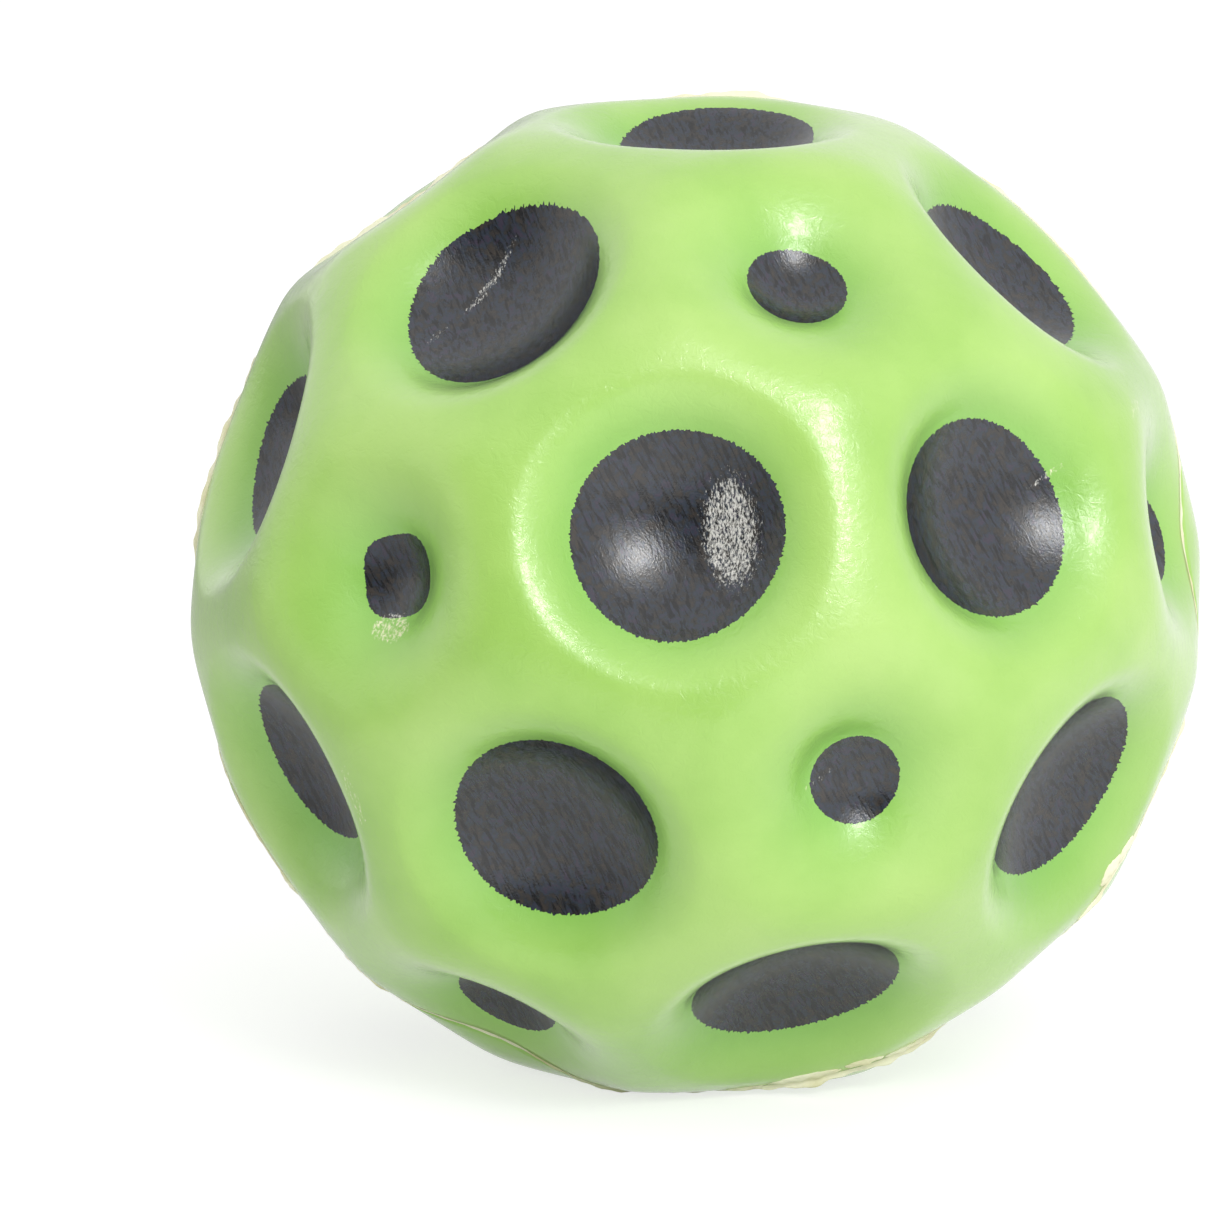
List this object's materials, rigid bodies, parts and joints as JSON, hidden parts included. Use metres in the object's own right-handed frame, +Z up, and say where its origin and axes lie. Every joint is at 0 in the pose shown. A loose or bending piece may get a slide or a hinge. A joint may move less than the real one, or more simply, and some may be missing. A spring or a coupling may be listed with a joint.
{
  "type": "bouncy ball",
  "caption": "High-bounce foam play ball with a green skin, round craters all over and black printed crater floors.",
  "frame": {"origin": "centre of the ball, which is the centre of its bounding box", "axes": "+Z up, from the crater that the ball stands on to the one opposite; the crater at the front faces -Y, so the mould's parting plane holds the X axis"},
  "size_m": [0.0708, 0.07, 0.0664],
  "materials": {
    "foam": "matte open-cell foam edge, cream",
    "green_skin": "glossy moulded skin with fine wrinkles",
    "black_print": "semi-gloss printed ink with fine print lines"
  },
  "bodies": {
    "root": {"foam_core": "foam", "front_skin": "green_skin", "rear_skin": "green_skin", "large_crater_print_01": "black_print", "large_crater_print_02": "black_print", "large_crater_print_03": "black_print", "large_crater_print_04": "black_print", "large_crater_print_05": "black_print", "large_crater_print_06": "black_print", "large_crater_print_07": "black_print", "large_crater_print_08": "black_print", "large_crater_print_09": "black_print", "large_crater_print_10": "black_print", "large_crater_print_11": "black_print", "large_crater_print_12": "black_print", "large_crater_print_13": "black_print", "large_crater_print_14": "black_print", "large_crater_print_15": "black_print", "large_crater_print_16": "black_print", "large_crater_print_17": "black_print", "large_crater_print_18": "black_print", "large_crater_print_19": "black_print", "large_crater_print_20": "black_print", "small_crater_print_01": "black_print", "small_crater_print_02": "black_print", "small_crater_print_03": "black_print", "small_crater_print_04": "black_print", "small_crater_print_05": "black_print", "small_crater_print_06": "black_print", "small_crater_print_07": "black_print", "small_crater_print_08": "black_print", "small_crater_print_09": "black_print", "small_crater_print_10": "black_print", "small_crater_print_11": "black_print", "small_crater_print_12": "black_print"}
  },
  "joints": []
}
